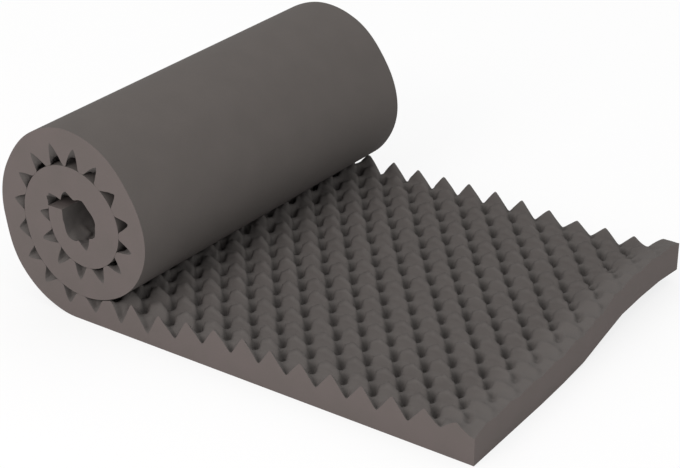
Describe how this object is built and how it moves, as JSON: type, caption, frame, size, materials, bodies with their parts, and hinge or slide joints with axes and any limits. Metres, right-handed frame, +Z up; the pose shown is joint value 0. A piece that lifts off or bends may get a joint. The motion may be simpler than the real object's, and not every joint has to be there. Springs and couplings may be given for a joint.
{
  "type": "foam mattress",
  "caption": "Convoluted foam mattress pad, partly unrolled: the egg-crate face lies open and the rest is wound into a roll resting on it.",
  "frame": {"origin": "centre of the bounding box's base, on the floor the pad lies on", "axes": "+X along the pad towards its free end, +Y across the pad along the roll, +Z up"},
  "size_m": [0.8188, 0.61, 0.3124],
  "materials": {
    "foam": "matt open-cell foam, dark warm grey"
  },
  "bodies": {
    "root": {"foam_pad": "foam"}
  },
  "joints": []
}
